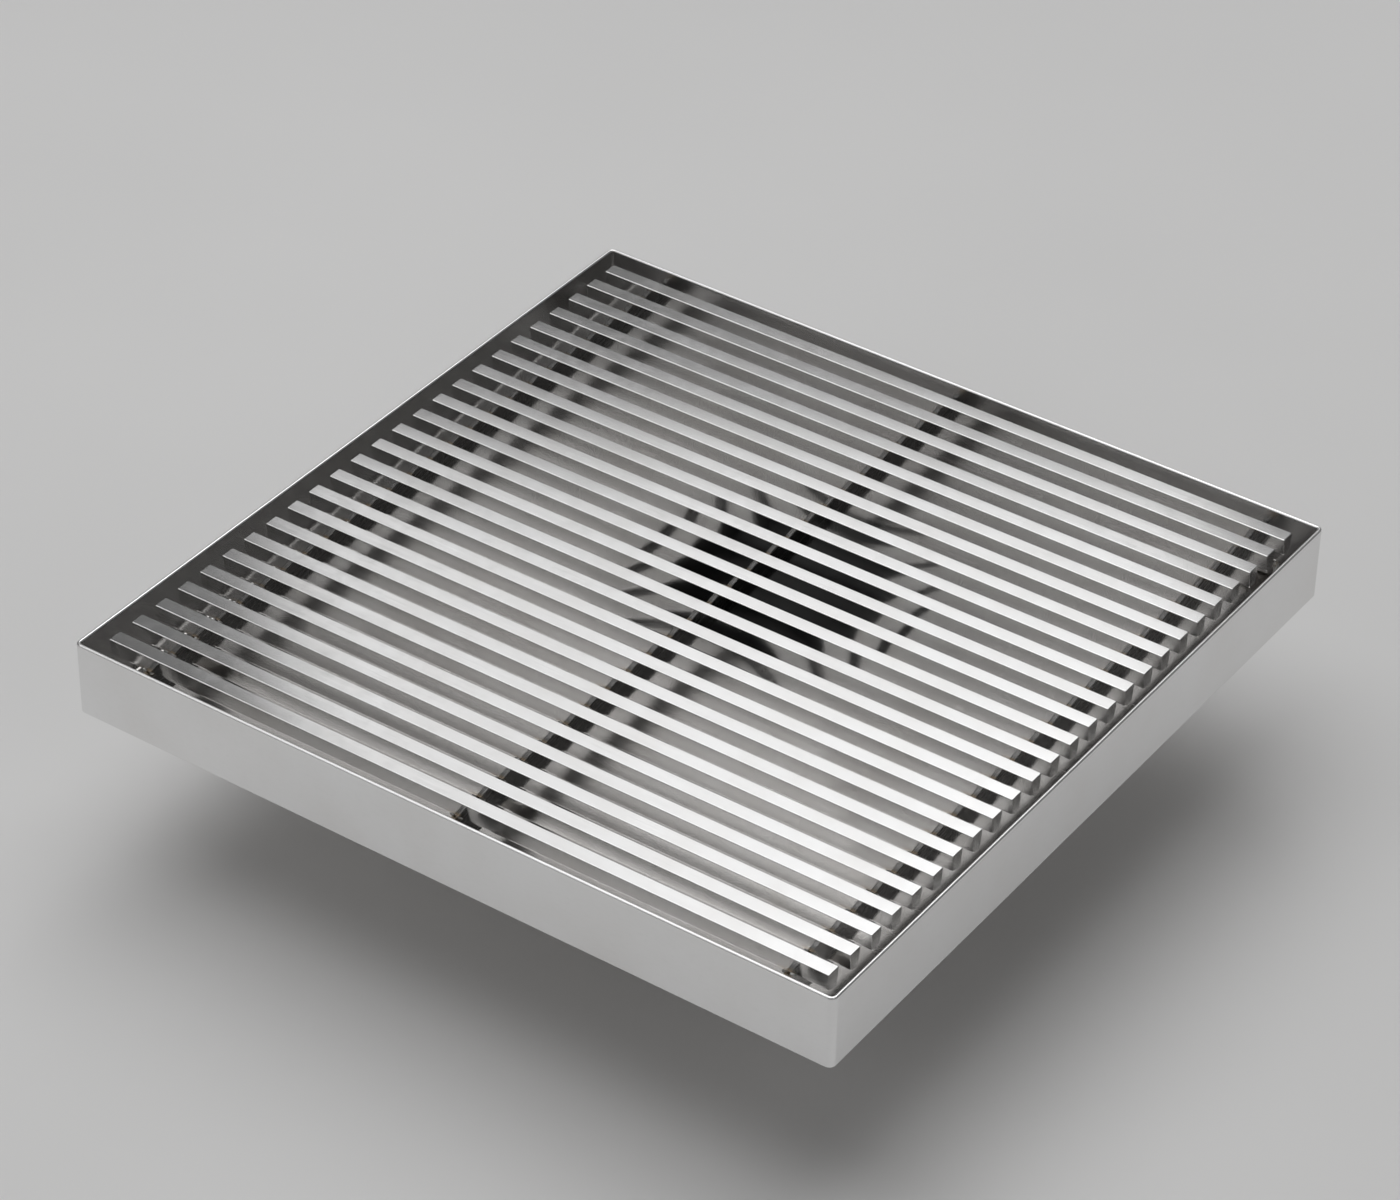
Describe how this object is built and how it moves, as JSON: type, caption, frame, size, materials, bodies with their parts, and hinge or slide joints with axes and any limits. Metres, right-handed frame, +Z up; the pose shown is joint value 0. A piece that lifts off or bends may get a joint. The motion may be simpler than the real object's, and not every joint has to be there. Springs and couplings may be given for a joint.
{
  "type": "floor drain grate",
  "caption": "Square stainless shower drain: wedge-bar grate that lifts out of a folded tray, with a central outlet spigot and a lift-out odour trap closed by spring flaps.",
  "frame": {"origin": "under the centre of the square, level with the foot of the outlet spigot", "axes": "+Z up; +X along the grate bars, to the right; +Y across them, to the back"},
  "size_m": [0.3, 0.3, 0.09],
  "materials": {
    "polished_steel": "mirror-polished stainless steel",
    "satin_steel": "satin stainless sheet",
    "brushed_bar_steel": "stainless, brushed along the bars",
    "spring_steel": "bright drawn stainless wire",
    "black_plastic": "moulded, satin",
    "rubber": "matt"
  },
  "bodies": {
    "tray": {"tray_skirt": "polished_steel", "tray_floor": "satin_steel", "outlet_spigot": "satin_steel", "rest_lug_front_left": "satin_steel", "rest_lug_front_centre": "satin_steel", "rest_lug_front_right": "satin_steel", "rest_lug_back_left": "satin_steel", "rest_lug_back_centre": "satin_steel", "rest_lug_back_right": "satin_steel"},
    "grate": {"grate_bar_01": "brushed_bar_steel", "grate_bar_02": "brushed_bar_steel", "grate_bar_03": "brushed_bar_steel", "grate_bar_04": "brushed_bar_steel", "grate_bar_05": "brushed_bar_steel", "grate_bar_06": "brushed_bar_steel", "grate_bar_07": "brushed_bar_steel", "grate_bar_08": "brushed_bar_steel", "grate_bar_09": "brushed_bar_steel", "grate_bar_10": "brushed_bar_steel", "grate_bar_11": "brushed_bar_steel", "grate_bar_12": "brushed_bar_steel", "grate_bar_13": "brushed_bar_steel", "grate_bar_14": "brushed_bar_steel", "grate_bar_15": "brushed_bar_steel", "grate_bar_16": "brushed_bar_steel", "grate_bar_17": "brushed_bar_steel", "grate_bar_18": "brushed_bar_steel", "grate_bar_19": "brushed_bar_steel", "grate_bar_20": "brushed_bar_steel", "grate_bar_21": "brushed_bar_steel", "grate_bar_22": "brushed_bar_steel", "grate_bar_23": "brushed_bar_steel", "grate_bar_24": "brushed_bar_steel", "grate_bar_25": "brushed_bar_steel", "cross_bar_left": "satin_steel", "cross_bar_centre": "satin_steel", "cross_bar_right": "satin_steel"},
    "trap": {"trap_flange": "satin_steel", "trap_seal": "rubber", "trap_sleeve": "black_plastic", "trap_pin": "spring_steel"},
    "flap_back": {"trap_flap_back": "black_plastic", "flap_spring_back": "spring_steel"},
    "flap_front": {"trap_flap_front": "black_plastic", "flap_spring_front": "spring_steel"}
  },
  "joints": [
    {"name": "grate_lift", "type": "slide", "parent": "tray", "child": "grate", "axis": [0, 0, 1], "range_m": [0, 0.1]},
    {"name": "trap_lift", "type": "slide", "parent": "tray", "child": "trap", "axis": [0, 0, 1], "range_m": [0, 0.06]},
    {"name": "flap_back_hinge", "type": "hinge", "parent": "trap", "child": "flap_back", "pos_m": [0, 0, 0.0392], "axis": [-1, 0, 0], "range_deg": [0, 85], "stiffness_Nm_per_rad": 0.002, "springref_deg": -45.84},
    {"name": "flap_front_hinge", "type": "hinge", "parent": "trap", "child": "flap_front", "pos_m": [0, 0, 0.0392], "axis": [1, 0, 0], "range_deg": [0, 85], "stiffness_Nm_per_rad": 0.002, "springref_deg": -45.84}
  ],
  "couplings": [
    {"joint": "trap_lift", "follows": "grate_lift", "ratio": 0.6}
  ]
}
